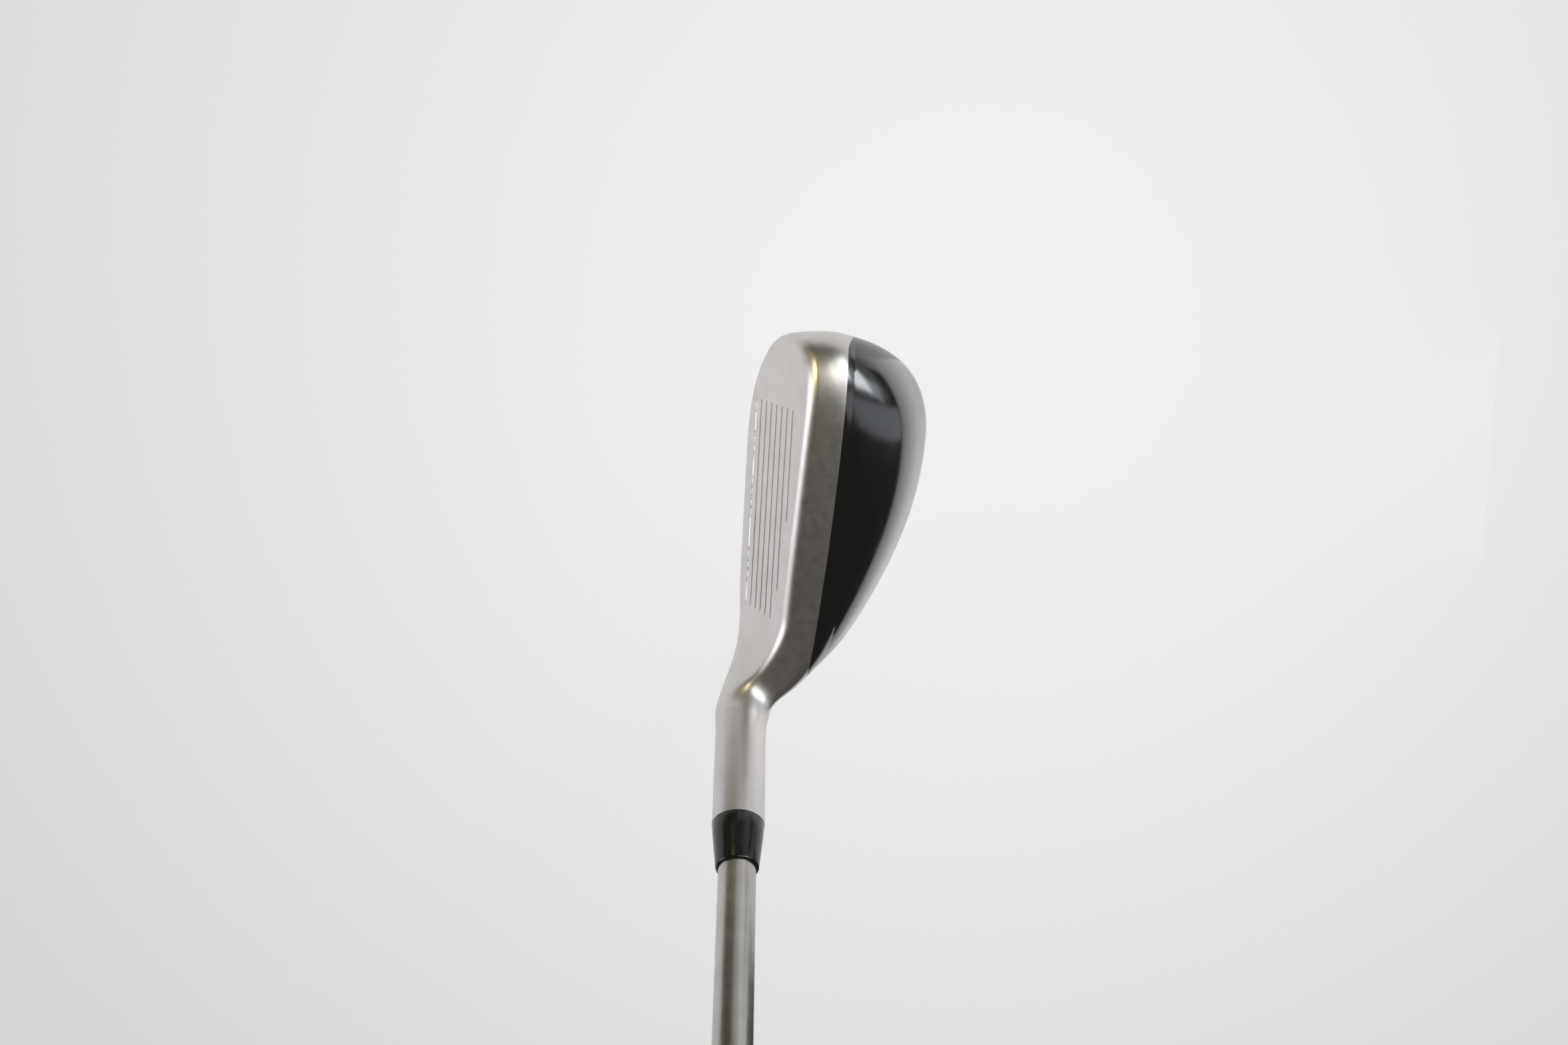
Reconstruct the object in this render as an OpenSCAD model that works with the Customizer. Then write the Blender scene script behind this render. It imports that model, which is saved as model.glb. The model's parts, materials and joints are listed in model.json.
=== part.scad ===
// Hybrid iron, right handed: hollow steel head with a bonded gloss crown, stepped steel shaft, rubber grip.
// The club is drawn as it stands at address: sole on the ground, face towards +Y, toe towards +X, +Z up.

/* [Club] */
// Loft of the face from vertical, in degrees
loft = 22.3; // [18:0.1:27]
// Lie of the shaft above the ground, in degrees
lie = 61; // [59:0.5:63]
// Club length along the shaft, from the ground to the butt
club_length = 990; // [900:5:1040]
// Distance from the butt to the middle of the two hands
hold_below_butt = 100; // [80:5:140]

/* [Head] */
// Distance from the shaft axis back to the crown's rearmost point
head_back = 47; // [40:0.1:50]
// Height of the topline at the middle of the face
topline_h = 37.1; // [34:0.1:42]
// Rise of the topline for each mm from heel to toe
topline_rise = 0.118; // [0.08:0.002:0.16]
// Wall of the sole, skirt and face
wall = 2; // [1.8:0.1:2.6]
// Thickness of the crown shell
crown_t = 1; // [0.8:0.1:1.1]
// Thickness of the adhesive between crown and ledge
bond_t = 0.2; // [0.1:0.05:0.25]
// Thickness of the sole weight
weight_t = 4; // [2:0.5:5]

/* [Score lines] */
// Number of score lines
line_count = 8; // [5:1:8]
// Distance from one score line to the next
line_pitch = 3.4; // [3:0.05:3.6]
// Width of a score line
line_w = 0.8; // [0.6:0.05:0.9]
// Depth of a score line
line_d = 0.2; // [0.15:0.05:0.5]
// Depth of the paint in the lowest score line
paint_d = 0.1; // [0.05:0.05:0.15]

/* [Hosel and ferrule] */
// Outside radius of the hosel
hosel_r = 6.7; // [6.4:0.05:7]
// Distance along the shaft axis from the ground to the hosel's top
hosel_top = 74; // [68:0.5:80]
// Depth of the hosel's bore
bore_depth = 31; // [28:0.5:31]
// Radius of the hosel's bore
bore_r = 4.8; // [4.75:0.01:4.9]
// Length of the ferrule
ferrule_h = 13.4; // [10:0.1:25]
// Radius of the ferrule at its shaft end
ferrule_r = 5.45; // [5.2:0.05:5.8]

/* [Shaft] */
// Radius of the shaft's parallel tip
tip_r = 4.7; // [4.6:0.01:4.72]
// Radius of the shaft's butt
butt_r = 7.62; // [7.3:0.01:7.8]
// Wall of the shaft tube
tube_wall = 0.45; // [0.35:0.05:0.6]
// Length of the parallel tip section above the hosel's floor
tip_len = 232; // [200:1:240]
// Number of steps between tip and butt
step_count = 11; // [8:1:12]
// Distance from one step to the next
step_pitch = 38; // [32:1:40]
// Length of the tip weight's pin inside the tube
pin_len = 22; // [10:1:40]

/* [Grip] */
// Length of the rubber sleeve, without its cap
grip_len = 264; // [250:1:280]
// Radius of the grip at its mouth
mouth_r = 8.6; // [8.4:0.1:9.2]
// Radius of the grip under the cap
heel_r = 13.1; // [12.6:0.1:14]
// Radius of the cap
cap_r = 14.2; // [13.8:0.1:15]
// Thickness of the cap
cap_h = 4; // [3:0.5:5]
// Radius of the vent hole in the cap
vent_r = 1.5; // [1:0.1:2]
// Thickness of the tape under the grip
tape_t = 0.25; // [0.15:0.05:0.4]

/* [Hidden] */
$fn = 64;

shaft_dir = [-cos(lie), 0, sin(lie)];
hold = (club_length - hold_below_butt) * shaft_dir;

// ---- The head's outer surface, as a field that is 0 on it and about minus the depth inside it ----
lead_y = 3.9;            // the face plane meets the ground this far in front of the shaft axis
crest_y = -16;           // the crown is highest here, and falls away behind
widest_x = 59;           // the head reaches furthest back here
toe_reach = 30.1;        // from there to the toe
toe_taper = 3.2;         // how much narrower the toe is at the face
taper_depth = 12;        // how far behind the face that taper ends
heel_sweep = 178;        // the back edge runs to the heel on a parabola
belly_z = 14.6;          // height of the back edge
wall_lean = 0.39;        // how far the crown's wall leans in for each mm of height
top_sag = 0.002;         // how fast the crown's top falls away behind the crest
skirt_power = 4.8;       // how square the shoulder is at the back
toe_power = 3.4;         // and at the toe
sole_power = 2.5;        // and under the belly
toe_oval = [52, 31, 35.8, 28];   // centre x and z, and half axes, of the toe's underside
edge_round = 2.2;        // rounding round the face
join_blend = 6.5;        // fillet between the heel and the hosel

function clamp(v, low, high) = min(max(v, low), high);
function soft_max(a, b, k) = let (h = max(k - abs(a - b), 0) / k) max(a, b) + h * h * h * k / 6;
function soft_min(a, b, k) = -soft_max(-a, -b, k);
function round_max(a, b, r) = min(-r, max(a, b)) + norm([max(r + a, 0), max(r + b, 0)]);
function power_sum(a, b, n) = pow(pow(a, n) + pow(b, n), 1 / n);

// The heel of the face swings forward to meet the hosel, most at topline height
function swing(x) = let (h = max(10 - x, 0)) h * h / (36 + 0.35 * h);
function swing_share(z) = clamp((z - 4) / 28, 0, 1.2);
function face_y(x, z) = lead_y + swing(x) * swing_share(z) - z * tan(loft);
function topline_z(x) = topline_h - topline_rise * 40 + topline_rise * (x + sqrt(x * x + 300)) / 2;
function crest(x) = crest_y + 0.75 * min(swing(x), 16);
function back_y(x) = -head_back + pow(min(x - widest_x, 0), 2) / heel_sweep + pow(max(6 - x, 0), 2) / 100;
function half_depth(x) = max(crest(x) - back_y(x), 5);
function belly(x) = belly_z + 7 * pow(clamp((30 - x) / 40, 0, 1), 2);

function face_field(p) =
    let (
        h = max(10 - p[0], 0),
        slope = 1.6 * h / 36 * swing_share(p[2]),
        ahead = p[1] - lead_y - swing(p[0]) * swing_share(p[2])
    )
    (ahead * cos(loft) + p[2] * sin(loft)) / sqrt(1 + slope * slope);

// The dome's plan is an ellipse behind the crest. Above the belly the walls lean in, and turn into the top
// on a tight shoulder behind and a wide one at the toe
function dome_power(x, y) = toe_power + (skirt_power - toe_power) * y * y / (x * x + y * y + 0.000001);
function dome_height(x, back) =
    max(topline_z(x) - belly(x) - top_sag * pow(min(back, half_depth(x)), 2), 4);
function dome_field(p, depth) =
    let (
        length_x = toe_reach - toe_taper * pow(clamp(1 - depth / taper_depth, 0, 1), 2),
        half_y = half_depth(p[0]),
        mid_z = belly(p[0]),
        above = p[2] > mid_z,
        back = max(crest(p[0]) - p[1], 0),
        lean = wall_lean * max(p[2] - mid_z, 0) * clamp(back / 8, 0, 1),
        half_z = above ? dome_height(p[0], back) : mid_z,
        x = max(p[0] - widest_x, 0) / length_x,
        y = (back + lean) / half_y,
        z = abs(p[2] - mid_z) / half_z,
        q = power_sum(norm([x, y]), z, above ? dome_power(x, y) : sole_power),
        steep = norm([x / length_x, y / half_y, z / half_z, 0.00003])
    )
    (q - 1) * clamp(q / steep, 2, 60);

// The toe's underside curves up on an ellipse
function toe_field(p) =
    let (
        x = max(p[0] - toe_oval[0], 0) / toe_oval[2],
        z = max(toe_oval[1] - p[2], 0) / toe_oval[3],
        q = norm([x, z]),
        steep = norm([x / toe_oval[2], z / toe_oval[3], 0.00003])
    )
    (q - 1) * clamp(q / steep, toe_oval[3], 60);

// The sole is cambered up to the leading edge and towards the heel
function sole_field(p) =
    let (
        front = clamp((p[1] + 10) / 12, 0, 2),
        heel = max(20 - p[0], 0)
    )
    (2 * front * front + heel * heel / 92 - p[2]) / norm([1, heel / 46, front / 3]);

function blade_field(p) =
    let (
        face = face_field(p),
        shell = soft_max(dome_field(p, -face), toe_field(p), 8),
        soled = soft_max(shell, sole_field(p), 4),
        ended = soft_max(soled, -(sin(lie) * p[0] + cos(lie) * p[2]) - 1, 12)
    )
    round_max(ended, face, edge_round);

// The hosel bends back into the heel along three tapered pieces: [centre, radius]
bend = [
    [110 * shaft_dir, hosel_r],
    [40 * shaft_dir, hosel_r],
    [[-14.2, -1.6, 25], 6.7],
    [[-8, -4.6, 15], 6.75],
    [[-1, -7.5, 9.5], 7.2]
];
function limb_field(p, a, b) =
    let (
        run = b[0] - a[0],
        t = clamp((p - a[0]) * run / (run * run), 0, 1)
    )
    norm(p - a[0] - t * run) - (a[1] + (b[1] - a[1]) * t);
function hosel_field(p) = min([for (i = [0:len(bend) - 2]) limb_field(p, bend[i], bend[i + 1])]);

function head_field(p) = soft_min(blade_field(p), hosel_field(p), join_blend);

// ---- Sections across the head, each with a centre and an up direction. They fan round a pivot above the
// heel, from square to the shaft to upright, and then step to the toe ----
pivot = [-6, 45];
fan_steps = 7;
blade_x = concat([for (x = [-4:4:80]) x], [82, 83.8, 85.2]);

function mid_y(x) = -16 + 9 * pow(clamp((30 - x) / 36, 0, 1), 2);
function mid_z(x) = 16 + 10 * pow(max(x - 50, 0) / 36, 2) + 4 * pow(clamp((30 - x) / 36, 0, 1), 2);
function fan_section(t) =
    let (
        turn = (1 - t) * lie,
        axis_r = pivot[0] * sin(lie) + pivot[1] * cos(lie),
        reach_r = axis_r + t * (pivot[1] - mid_z(pivot[0]) - axis_r),
        down = [-sin(turn), 0, -cos(turn)]
    )
    [[pivot[0], 0, pivot[1]] + reach_r * down + [0, t * mid_y(pivot[0]), 0], -down];
function blade_section(x) = [[x, mid_y(x), mid_z(x)], [0, 0, 1]];

sections = concat(
    [[hosel_top * shaft_dir, fan_section(0)[1]]],
    [for (i = [0:fan_steps]) fan_section(i / fan_steps)],
    [for (x = blade_x) blade_section(x)]
);
blade_first = fan_steps + 2;
section_x = concat([for (i = [1:blade_first]) pivot[0]], blade_x);
last = len(sections) - 1;

// ---- Round each section, rays leave the centre towards the edges and seams ----
// The toe's lowest height at x, and the crown's front and rear seams
function underside(x) =
    toe_oval[1] - 3 - (toe_oval[3] - 3) * sqrt(1 - pow(clamp((x - toe_oval[0]) / toe_oval[2], 0, 0.98), 2));
function seam_y(x) = -17.3 - 0.105 * (x + 8) + 0.00055 * pow(x + 8, 2);
function crown_top(x, y) =
    let (
        back = max(crest(x) - y, 0),
        out_y = back / half_depth(x),
        out_x = max(x - widest_x, 0) / toe_reach,
        power = dome_power(out_x, out_y)
    )
    belly(x) + dome_height(x, back) * pow(max(1 - pow(norm([out_x, out_y]), power), 0.001), 1 / power);
function rear_seam_z(x) =
    belly(x) - 1.2 + 2.9 / (1 + pow((x - 27) / 9, 2)) + 7 * pow(max(12 - x, 0) / 19, 3);
function rear_seam_y(x) =
    crest(x) - half_depth(x) * sqrt(max(1 - pow(max(x - widest_x, 0) / toe_reach, 2), 0.01));

// Number of cells from each corner to the next
cells = [1, 6, 1, 2, 3, 10, 4, 9, 2];
// Leading edge, the face window's two edges, the ridge's two sides, front seam, rear seam, trailing edge,
// front of the sole, and the leading edge again, as [y, z]
function corners(x) =
    let (
        low = underside(x) + 1.2,
        high = topline_z(x),
        back = rear_seam_y(x)
    )
    [
        [face_y(x, low + 1), low - 0.6],
        [face_y(x, low + 2.4), low + 2.4],
        [face_y(x, high - 3.2), high - 3.2],
        [face_y(x, high - 1.5), high - 1.5],
        [face_y(x, high) - 1.6, high - 0.1],
        [seam_y(x), crown_top(x, seam_y(x))],
        [back, rear_seam_z(x)],
        [back + 8, 3.5],
        [-6, underside(x)],
        [face_y(x, low + 1), low - 0.6]
    ];
function turned(a, above) = a > above ? a : turned(a + 360, above);
function corner_angles(x, points, k = 0, above = -180) =
    k == len(points) ? [] :
    let (
        p = points[k] - [mid_y(x), mid_z(x)],
        a = turned(atan2(p[1], p[0]), above)
    )
    concat([a], corner_angles(x, points, k + 1, a));
function ray_angles(x) =
    let (a = corner_angles(x, corners(x)))
    [for (k = [0:len(cells) - 1]) for (m = [0:cells[k] - 1]) a[k] + (a[k + 1] - a[k]) * m / cells[k]];
ring = len(ray_angles(40));
function section_angles(i) =
    let (
        real = ray_angles(clamp(section_x[i], pivot[0], 80)),
        even = 1 - clamp((i - 1) / fan_steps, 0, 1)
    )
    [for (j = [0:ring - 1]) real[j] * (1 - even) + (real[0] + 360 * j / ring) * even];

// Distance along a ray at which the field reaches a level, by halving
function reach(from, ray, level, low, high, steps) =
    steps == 0 ? (low + high) / 2 :
    let (mid = (low + high) / 2)
    head_field(from + mid * ray) > level
        ? reach(from, ray, level, low, mid, steps - 1)
        : reach(from, ray, level, mid, high, steps - 1);

// Depths of the layers below the skin: crown, bond, ledge and weight
levels = [0, crown_t, crown_t + bond_t, wall, wall + weight_t];
depth_count = len(levels);
function ray_points(centre, ray) =
    let (
        room = -head_field(centre),
        skin = reach(centre, ray, 0, 0, 64, 14)
    )
    [for (k = [0:depth_count - 1])
        centre + ray * (k == 0 ? skin
            : levels[k] < room - 0.5 ? reach(centre, ray, -levels[k], 0, skin, 12)
            : skin * (1 - 0.15 * k))];
function section_points(i) =
    let (
        centre = sections[i][0],
        up = sections[i][1]
    )
    [for (a = section_angles(i)) each ray_points(centre, [0, cos(a), 0] + sin(a) * up)];

// ---- Solids made of the cells between sections, rays and layers. Cell [i, j, k] lies between sections i
// and i + 1, rays j and j + 1 and layers k and k + 1. The last layer is the core, down to the centres ----
function spot(i, j, k) =
    k == depth_count ? (last + 1) * ring * depth_count + i : (i * ring + (j % ring)) * depth_count + k;
function two_triangles(a, b, c, d) = [for (t = [[a, b, c], [a, c, d]]) if (t[0] != t[1] && t[1] != t[2]
    && t[2] != t[0]) t];
function inside(i, j, k, keep) = i >= 0 && i < last && k >= 0 && k <= depth_count - 1 && keep(i, j, k);
function cell_sides(i, j, k, keep) =
    let (
        before = (j + ring - 1) % ring,
        after = (j + 1) % ring
    )
    concat(
        inside(i, j, k - 1, keep) ? [] :
            two_triangles(spot(i, j, k), spot(i + 1, j, k), spot(i + 1, j + 1, k), spot(i, j + 1, k)),
        inside(i, j, k + 1, keep) || k == depth_count - 1 ? [] :
            two_triangles(spot(i, j, k + 1), spot(i, j + 1, k + 1), spot(i + 1, j + 1, k + 1),
                spot(i + 1, j, k + 1)),
        inside(i - 1, j, k, keep) ? [] :
            two_triangles(spot(i, j, k), spot(i, j + 1, k), spot(i, j + 1, k + 1), spot(i, j, k + 1)),
        inside(i + 1, j, k, keep) ? [] :
            two_triangles(spot(i + 1, j, k), spot(i + 1, j, k + 1), spot(i + 1, j + 1, k + 1),
                spot(i + 1, j + 1, k)),
        inside(i, before, k, keep) ? [] :
            two_triangles(spot(i, j, k), spot(i, j, k + 1), spot(i + 1, j, k + 1), spot(i + 1, j, k)),
        inside(i, after, k, keep) ? [] :
            two_triangles(spot(i, j + 1, k), spot(i + 1, j + 1, k), spot(i + 1, j + 1, k + 1),
                spot(i, j + 1, k + 1))
    );
module cell_solid(keep) {
    points = [for (i = [0:last]) each section_points(i)];
    centres = [for (s = sections) s[0]];
    polyhedron(concat(points, centres), [
        for (i = [0:last - 1]) for (j = [0:ring - 1]) for (k = [0:depth_count - 1])
            if (keep(i, j, k)) each cell_sides(i, j, k, keep)
    ]);
}

// ---- Which cells each piece of the head takes ----
function section_at(x) = [for (i = [blade_first:last]) if (section_x[i] >= x) i][0];
face_first = section_at(4);
face_last = section_at(76);
crown_first = section_at(-4);
crown_last = section_at(83.8);
hollow_first = section_at(4);
hollow_last = section_at(80);
weight_first = section_at(24);
weight_last = section_at(60);
face_low = cells[0];
face_high = face_low + cells[1];
crown_low = face_high + cells[2] + cells[3] + cells[4];
crown_high = crown_low + cells[5];
weight_low = crown_high + cells[6] + 1;
weight_high = weight_low + 5;

face_cell = function(i, j, k) i >= face_first && i < face_last && j >= face_low && j < face_high && k < 3;
function under_crown(i, j, border) =
    i >= crown_first + border && i < crown_last - border
    && j >= crown_low + border && j < crown_high - border;
crown_cell = function(i, j, k) k == 0 && under_crown(i, j, 0);
bond_cell = function(i, j, k) k == 1 && under_crown(i, j, 0) && !under_crown(i, j, 1);
weight_cell = function(i, j, k)
    k == 3 && i >= weight_first && i < weight_last && j >= weight_low && j < weight_high;
body_cell = function(i, j, k)
    k >= 3 ? i < hollow_first || i >= hollow_last :
    face_cell(i, j, k) ? false :
    under_crown(i, j, 1) ? i < hollow_first && k == 2 :
    under_crown(i, j, 0) ? k == 2 :
    true;

// ---- Placing ----
module at_address() {
    translate(-hold) children();
}
// Local +Z runs up the shaft from a distance s along it
module along_shaft(s) {
    at_address() translate(s * shaft_dir) rotate([0, lie - 90, 0]) children();
}
// Local X runs from heel to toe, local Y up the face and local Z out of it, from the foot of the face
module on_face(u, v) {
    at_address() translate([0, lead_y, 0]) rotate([90 + loft, 0, 0]) mirror([0, 0, 1]) translate([u, v, 0])
        children();
}
// A round piece or cut along Z, from [radius, height] corners
module turned_piece(corners) {
    rotate_extrude() polygon(corners);
}

// ---- Head ----
shaft_foot = hosel_top - bore_depth;     // floor of the bore

module head_body() {
    color("silver") {
        difference() {
            at_address() cell_solid(body_cell);
            along_shaft(shaft_foot) cylinder(h = bore_depth + 1, r = bore_r);
        }
    }
}

// The score lines: [heel end, toe end] of each, counted from the lowest
line_low = 10.6;
line_ends = [for (n = [0:line_count - 1]) [n < 6 ? 7.45 : n == 6 ? 16.2 : 36, 65.9]];
module score_line(n, depth, skin) {
    heel_end = line_ends[n][0] + line_w / 2;
    run = line_ends[n][1] - line_ends[n][0] - line_w;
    on_face(heel_end, line_low + n * line_pitch) translate([0, 0, -depth]) {
        translate([0, -line_w / 2, 0]) cube([run, line_w, depth + skin]);
        for (end = [0, run]) translate([end, 0, 0]) cylinder(h = depth + skin, r = line_w / 2);
    }
}
module face_plate() {
    color("gainsboro") {
        difference() {
            at_address() cell_solid(face_cell);
            for (n = [0:line_count - 1]) score_line(n, line_d, 1);
        }
    }
}
module score_line_paint() {
    color("white") {
        intersection() {
            score_line(0, line_d, 0);
            on_face(0, line_low - line_w) translate([0, 0, -line_d]) cube([90, 2 * line_w, paint_d]);
        }
    }
}
module crown() {
    color([0.06, 0.07, 0.07]) at_address() cell_solid(crown_cell);
}
module crown_bond() {
    color("dimgray") at_address() cell_solid(bond_cell);
}
module sole_weight() {
    color("slategray") at_address() cell_solid(weight_cell);
}

// ---- Hosel parts ----
flange_h = 1.5;                          // head of the tip weight, under the shaft's end
shaft_low = shaft_foot + flange_h;
module hosel_epoxy() {
    color("khaki") {
        along_shaft(shaft_foot) difference() {
            cylinder(h = bore_depth, r = bore_r);
            translate([0, 0, -1]) cylinder(h = bore_depth + 2, r = tip_r);
        }
    }
}
module tip_weight() {
    color("goldenrod") {
        along_shaft(shaft_foot) {
            cylinder(h = flange_h, r = tip_r);
            cylinder(h = flange_h + pin_len, r = tip_r - tube_wall);
        }
    }
}
ferrule_nose = 0.9;                      // rounding of the ferrule's shaft end
module ferrule() {
    waist = ferrule_h - ferrule_nose;
    color([0.1, 0.1, 0.1]) {
        along_shaft(hosel_top) turned_piece(concat(
            [[tip_r, 0], [hosel_r - 0.15, 0], [hosel_r, 0.15]],
            [for (a = [0:15:90])
                [ferrule_r - ferrule_nose * (1 - cos(a)), waist + ferrule_nose * sin(a)]],
            [[tip_r, ferrule_h]]
        ));
    }
}

// ---- Shaft: a tube whose radius steps up from tip to butt ----
step_rise = (butt_r - tip_r) / step_count;
butt_end = club_length - cap_h;
step_start = [for (n = [1:step_count]) shaft_foot + tip_len + (n - 1) * step_pitch];
step_ramp = 0.6;                         // length of the slope at each step
shaft_line = concat(
    [[tip_r, shaft_low]],
    [for (n = [1:step_count]) each [
        [tip_r + (n - 1) * step_rise, step_start[n - 1]],
        [tip_r + n * step_rise, step_start[n - 1] + step_ramp]
    ]],
    [[butt_r, butt_end]]
);
module shaft() {
    color([0.55, 0.53, 0.5]) {
        along_shaft(0) turned_piece(concat(
            shaft_line,
            [for (n = [len(shaft_line) - 1:-1:0]) shaft_line[n] - [tube_wall, 0]]
        ));
    }
}

// ---- Grip ----
grip_low = butt_end - grip_len;
mouth_h = 8;                             // the mouth grips the bare shaft below the tape
mouth_round = 0.7;
module grip_tape() {
    color("tan") {
        along_shaft(grip_low + mouth_h) difference() {
            cylinder(h = grip_len - mouth_h, r = butt_r + tape_t);
            translate([0, 0, -1]) cylinder(h = grip_len - mouth_h + 2, r = butt_r);
        }
    }
}
// Bands of shallow grooves round the lower and upper hand, with a plain collar above and below
groove_depth = 0.35;
groove_pitch = 4;
groove_share = 0.35;
function grip_r(h) = mouth_r + (heel_r - mouth_r) * pow(h / grip_len, 1.25);
groove_width = groove_share * groove_pitch;
function groove_at(h) = [
    [grip_r(h), h],
    [grip_r(h) - groove_depth, h + 0.2],
    [grip_r(h) - groove_depth, h + groove_width],
    [grip_r(h), h + groove_width + 0.2]
];
module grip() {
    bands = [[18, 122], [138, 242]];
    color([0.13, 0.13, 0.13]) {
        along_shaft(grip_low) turned_piece(concat(
            [[butt_r, 0], [mouth_r - mouth_round, 0], [mouth_r - mouth_round * 0.3, mouth_round * 0.3],
                [mouth_r, mouth_round]],
            [for (b = bands) for (h = [b[0]:groove_pitch:b[1]]) each groove_at(h)],
            [[heel_r, grip_len], [butt_r + tape_t, grip_len], [butt_r + tape_t, mouth_h], [butt_r, mouth_h]]
        ));
    }
}
cap_round = 1.6;
module grip_cap() {
    color([0.1, 0.1, 0.1]) {
        along_shaft(butt_end) turned_piece(concat(
            [[vent_r, 0], [heel_r, 0], [cap_r, cap_h - cap_round - 1]],
            [for (a = [0:15:90]) [cap_r - cap_round * (1 - cos(a)), cap_h - cap_round + cap_round * sin(a)]],
            [[vent_r, cap_h]]
        ));
    }
}

head_body();
face_plate();
score_line_paint();
crown();
crown_bond();
sole_weight();
hosel_epoxy();
ferrule();
tip_weight();
shaft();
grip_tape();
grip();
grip_cap();
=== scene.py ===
"""Looks of a hybrid golf club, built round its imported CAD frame.

Shapes are worked out in millimetres at address: the shaft axis meets the ground at the origin, +Z is up, the
face looks towards +Y and the toe is towards +X. to_row() then puts them in the row frame, in metres.
"""

import json
from math import asin, cos, pi, radians, sin, tan

import bmesh
import bpy
import numpy as np
from mathutils import Matrix, Vector


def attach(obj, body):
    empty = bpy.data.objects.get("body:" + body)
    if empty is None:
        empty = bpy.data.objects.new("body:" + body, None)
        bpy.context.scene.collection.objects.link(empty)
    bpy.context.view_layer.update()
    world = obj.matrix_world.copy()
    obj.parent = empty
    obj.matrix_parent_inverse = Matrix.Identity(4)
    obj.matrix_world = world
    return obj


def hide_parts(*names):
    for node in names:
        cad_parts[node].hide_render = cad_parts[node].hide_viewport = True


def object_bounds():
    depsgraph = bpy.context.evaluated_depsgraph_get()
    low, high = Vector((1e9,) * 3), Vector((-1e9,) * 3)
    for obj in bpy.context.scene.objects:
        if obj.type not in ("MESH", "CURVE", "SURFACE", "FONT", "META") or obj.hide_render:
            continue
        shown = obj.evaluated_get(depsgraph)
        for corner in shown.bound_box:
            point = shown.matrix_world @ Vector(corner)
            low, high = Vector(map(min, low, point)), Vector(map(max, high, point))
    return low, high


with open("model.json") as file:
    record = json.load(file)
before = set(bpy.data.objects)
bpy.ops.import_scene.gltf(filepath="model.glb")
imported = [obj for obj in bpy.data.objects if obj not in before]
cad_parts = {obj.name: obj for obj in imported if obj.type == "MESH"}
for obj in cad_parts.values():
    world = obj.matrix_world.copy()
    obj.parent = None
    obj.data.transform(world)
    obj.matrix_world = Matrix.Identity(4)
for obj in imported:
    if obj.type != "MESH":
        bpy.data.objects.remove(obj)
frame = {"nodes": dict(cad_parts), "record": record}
CAD_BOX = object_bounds()

# ---- Driving dimensions: lengths in mm, angles in radians ----
MM = 0.001
AXIS = np.array(next(m["axis"] for m in frame["record"]["mounts"] if m["name"] == "grip_hold"))
AXIS = AXIS / np.linalg.norm(AXIS)
CLUB_LENGTH = 990.0
HOLD_BELOW_BUTT = 100.0
LIE = asin(AXIS[2])
LOFT = radians(22.3)

HEAD_BACK = 47.0  # shaft axis to the crown's rearmost point
TOPLINE_H = 37.1
TOPLINE_RISE = 0.118
LEAD_Y = 3.9  # the face plane meets the ground this far in front of the shaft axis
CREST_Y = -16.0  # the crown is highest here, and falls away behind
WIDEST_X = 59.0
TOE_REACH = 30.1
TOE_TAPER = 3.2
TAPER_DEPTH = 12.0
HEEL_SWEEP = 178.0
BELLY_Z = 14.6
WALL_LEAN = 0.39
TOP_SAG = 0.002
SKIRT_POWER = 4.8
TOE_POWER = 3.4
SOLE_POWER = 2.5
TOE_OVAL = (52.0, 31.0, 35.8, 28.0)  # centre x and z, and half axes, of the toe's underside
EDGE_ROUND = 2.2
JOIN_BLEND = 6.5

LINE_LOW = 10.6  # height of the lowest score line up the face
LINE_PITCH = 3.4
LINE_W = 0.8
LINE_D = 0.2
LINE_TOE = 65.9
LINE_HEELS = [7.45] * 6 + [16.2, 36.0]

HOSEL_R = 6.7
HOSEL_TOP = 74.0
BORE_DEPTH = 31.0
PLUG_HEAD = 1.5  # head of the tip weight, under the shaft's end
FERRULE_H = 13.4
FERRULE_R = 5.45
TIP_R = 4.7
TIP_LEN = 232.0  # floor of the bore to the first step
STEP_COUNT = 11
STEP_PITCH = 38.0
TUBE_WALL = 0.45
BUTT_R = 7.62
GRIP_LEN = 264.0
MOUTH_R = 8.6
HEEL_R = 13.1
CAP_R = 14.2
CAP_H = 4.0
VENT_R = 1.5


def to_row(points):
    """Points at address, in mm, as points in the row frame, in metres."""
    return (np.asarray(points, float) - (CLUB_LENGTH - HOLD_BELOW_BUTT) * AXIS) * MM


# ---- The head's outer surface: a field that is 0 on it and negative inside ----
def soft_max(a, b, k):
    h = np.maximum(k - np.abs(a - b), 0) / k
    return np.maximum(a, b) + h**3 * k / 6


def round_max(a, b, r):
    return np.minimum(-r, np.maximum(a, b)) + np.hypot(np.maximum(r + a, 0), np.maximum(r + b, 0))


def power_sum(a, b, n):
    return (a**n + b**n) ** (1 / n)


def swing(x):
    """The heel of the face swings forward to meet the hosel."""
    h = np.maximum(10 - x, 0)
    return h * h / (36 + 0.35 * h)


def swing_share(z):
    return np.clip((z - 4) / 28, 0, 1.2)


def face_y(x, z):
    return LEAD_Y + swing(x) * swing_share(z) - z * tan(LOFT)


def topline_z(x):
    return TOPLINE_H - TOPLINE_RISE * 40 + TOPLINE_RISE * (x + np.sqrt(x * x + 300)) / 2


def crest(x):
    return CREST_Y + 0.75 * np.minimum(swing(x), 16)


def behind_crest(x, y):
    return np.maximum(crest(x) - y, 0)


def past_widest(x):
    """How far past the head's widest section, as a share of the toe's reach."""
    return np.maximum(x - WIDEST_X, 0) / TOE_REACH


def half_depth(x):
    back = -HEAD_BACK + np.minimum(x - WIDEST_X, 0) ** 2 / HEEL_SWEEP + np.maximum(6 - x, 0) ** 2 / 100
    return np.maximum(crest(x) - back, 5)


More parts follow.
